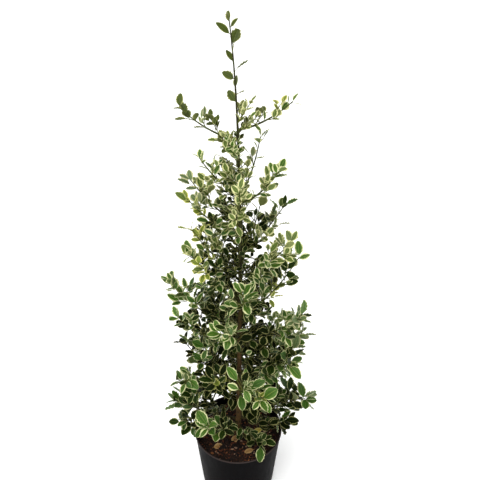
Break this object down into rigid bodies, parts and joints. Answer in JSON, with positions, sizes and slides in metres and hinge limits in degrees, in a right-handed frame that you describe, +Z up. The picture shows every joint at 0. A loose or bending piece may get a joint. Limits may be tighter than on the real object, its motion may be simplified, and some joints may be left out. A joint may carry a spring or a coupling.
{
  "type": "potted holly tree",
  "caption": "Slender young variegated holly with one trunk, upswept boughs and separate masses of leaves, standing in a round black nursery pot of compost.",
  "frame": {"origin": "centre of the pot's flat underside", "axes": "+Z up along the trunk from the underside of the pot, +X to the right seen from the front, -Y towards the front"},
  "size_m": [0.4331, 0.3642, 1.3339],
  "materials": {
    "pot": "black moulded polypropylene with a fine grain",
    "compost": "loose dark bark compost, dull",
    "bark": "smooth grey-brown to green holly bark",
    "foliage": "waxy green leaves with cream margins"
  },
  "bodies": {
    "root": {"pot": "pot", "compost": "compost", "trunk": "bark", "bough_01": "bark", "bough_02": "bark", "bough_03": "bark", "bough_04": "bark", "bough_05": "bark", "bough_13": "bark", "bough_14": "bark", "bough_15": "bark", "bough_16": "bark", "bough_23": "bark", "bough_25": "bark", "bough_28": "bark", "bough_29": "bark", "bough_30": "bark", "bough_31": "bark", "bough_32": "bark", "foliage_01": "foliage", "foliage_02": "foliage", "foliage_03": "foliage", "foliage_04": "foliage", "foliage_05": "foliage", "foliage_06": "foliage", "foliage_07": "foliage", "foliage_08": "foliage", "foliage_09": "foliage", "foliage_10": "foliage", "foliage_11": "foliage", "foliage_12": "foliage", "foliage_13": "foliage", "foliage_14": "foliage", "foliage_15": "foliage", "foliage_16": "foliage", "foliage_17": "foliage", "foliage_18": "foliage", "foliage_19": "foliage", "foliage_20": "foliage", "foliage_21": "foliage", "foliage_22": "foliage", "foliage_23": "foliage", "foliage_24": "foliage", "foliage_25": "foliage", "foliage_26": "foliage", "foliage_27": "foliage", "foliage_28": "foliage", "foliage_29": "foliage", "foliage_30": "foliage", "foliage_31": "foliage", "foliage_32": "foliage", "foliage_33": "foliage", "foliage_34": "foliage", "foliage_35": "foliage", "foliage_36": "foliage", "foliage_37": "foliage", "foliage_38": "foliage", "foliage_39": "foliage", "foliage_40": "foliage", "leader_shoot": "foliage"}
  },
  "joints": []
}
